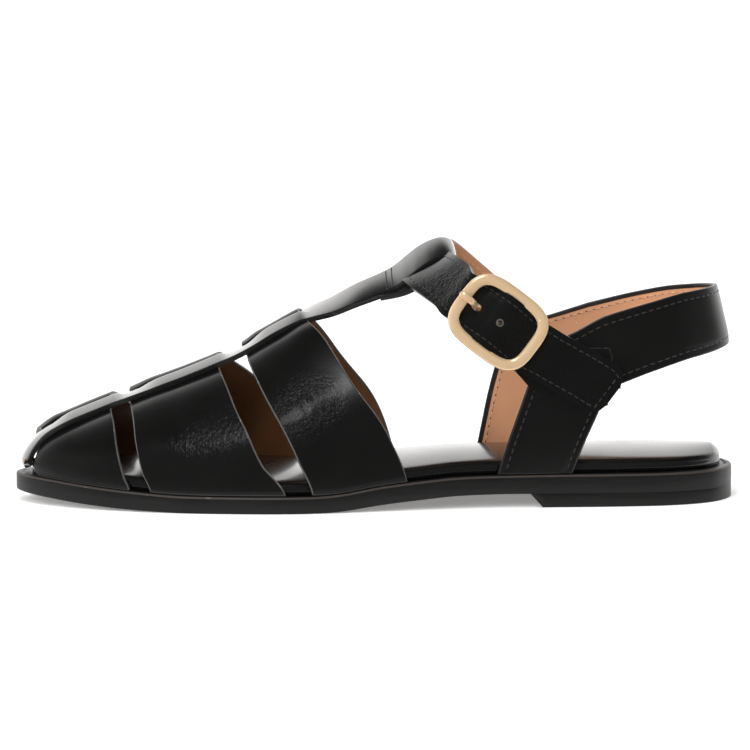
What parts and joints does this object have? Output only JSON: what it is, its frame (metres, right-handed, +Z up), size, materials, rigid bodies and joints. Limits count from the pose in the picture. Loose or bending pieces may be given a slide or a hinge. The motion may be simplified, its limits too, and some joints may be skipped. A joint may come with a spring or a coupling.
{
  "type": "sandal",
  "caption": "Flat woven T-bar sandal, left foot: crossed strap upper, buckled ankle strap, open heel strap, padded insole and low heel.",
  "frame": {"origin": "centre of the bounding box in plan, on the ground under the sole", "axes": "+X from the heel to the toe, +Y to the outer side of a left foot, +Z up from the ground"},
  "size_m": [0.262, 0.0872, 0.0955],
  "materials": {
    "outsole": "satin",
    "heel_lift": "satin",
    "insole": "gloss",
    "upper": "gloss",
    "back_strap": "gloss",
    "ankle_strap": "gloss",
    "buckle_tab": "gloss",
    "buckle_frame": "satin",
    "buckle_prong": "satin"
  },
  "bodies": {
    "root": {"outsole": "outsole", "heel_lift": "heel_lift", "insole": "insole", "upper": "upper", "back_strap": "back_strap", "ankle_strap": "ankle_strap", "buckle_tab": "buckle_tab", "buckle_frame": "buckle_frame", "buckle_prong": "buckle_prong"}
  },
  "joints": []
}
